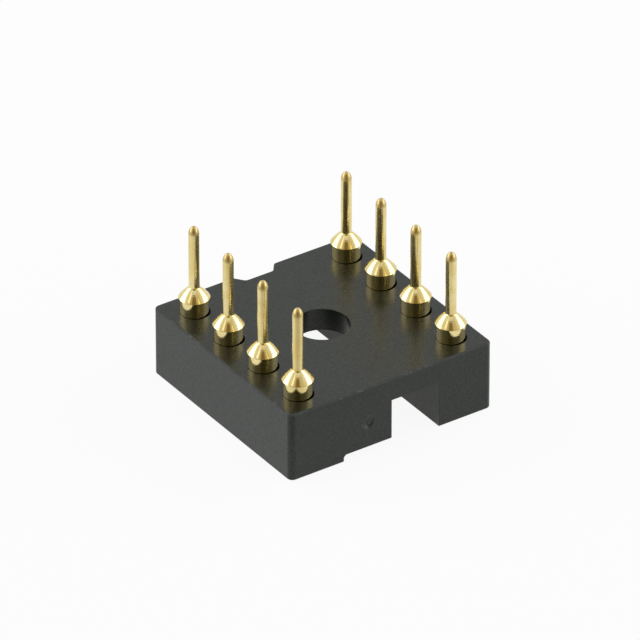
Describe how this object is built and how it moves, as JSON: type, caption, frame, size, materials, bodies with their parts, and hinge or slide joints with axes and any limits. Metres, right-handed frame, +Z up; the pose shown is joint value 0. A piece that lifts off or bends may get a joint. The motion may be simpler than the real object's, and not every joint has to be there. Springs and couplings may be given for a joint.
{
  "type": "ic socket",
  "caption": "Low square plastic body with an end notch and a round middle opening, holding facing rows of turned metal contacts with collars, cones and thin solder tails.",
  "frame": {"origin": "middle of the mating face, which the part lies on", "axes": "+X along the rows, away from the notch; +Y towards the row of contact 1; +Z up, along the solder tails"},
  "size_m": [0.0102, 0.01, 0.0073],
  "materials": {
    "black_plastic": "semi-gloss, fine moulded grain",
    "gold_sleeve": "bright gold flash over turned brass",
    "gold_spring": "bright gold over spring copper"
  },
  "bodies": {
    "root": {"insulator_body": "black_plastic", "pin_sleeve_1": "gold_sleeve", "pin_sleeve_2": "gold_sleeve", "pin_sleeve_3": "gold_sleeve", "pin_sleeve_4": "gold_sleeve", "pin_sleeve_5": "gold_sleeve", "pin_sleeve_6": "gold_sleeve", "pin_sleeve_7": "gold_sleeve", "pin_sleeve_8": "gold_sleeve", "contact_clip_1": "gold_spring", "contact_clip_2": "gold_spring", "contact_clip_3": "gold_spring", "contact_clip_4": "gold_spring", "contact_clip_5": "gold_spring", "contact_clip_6": "gold_spring", "contact_clip_7": "gold_spring", "contact_clip_8": "gold_spring"}
  },
  "joints": []
}
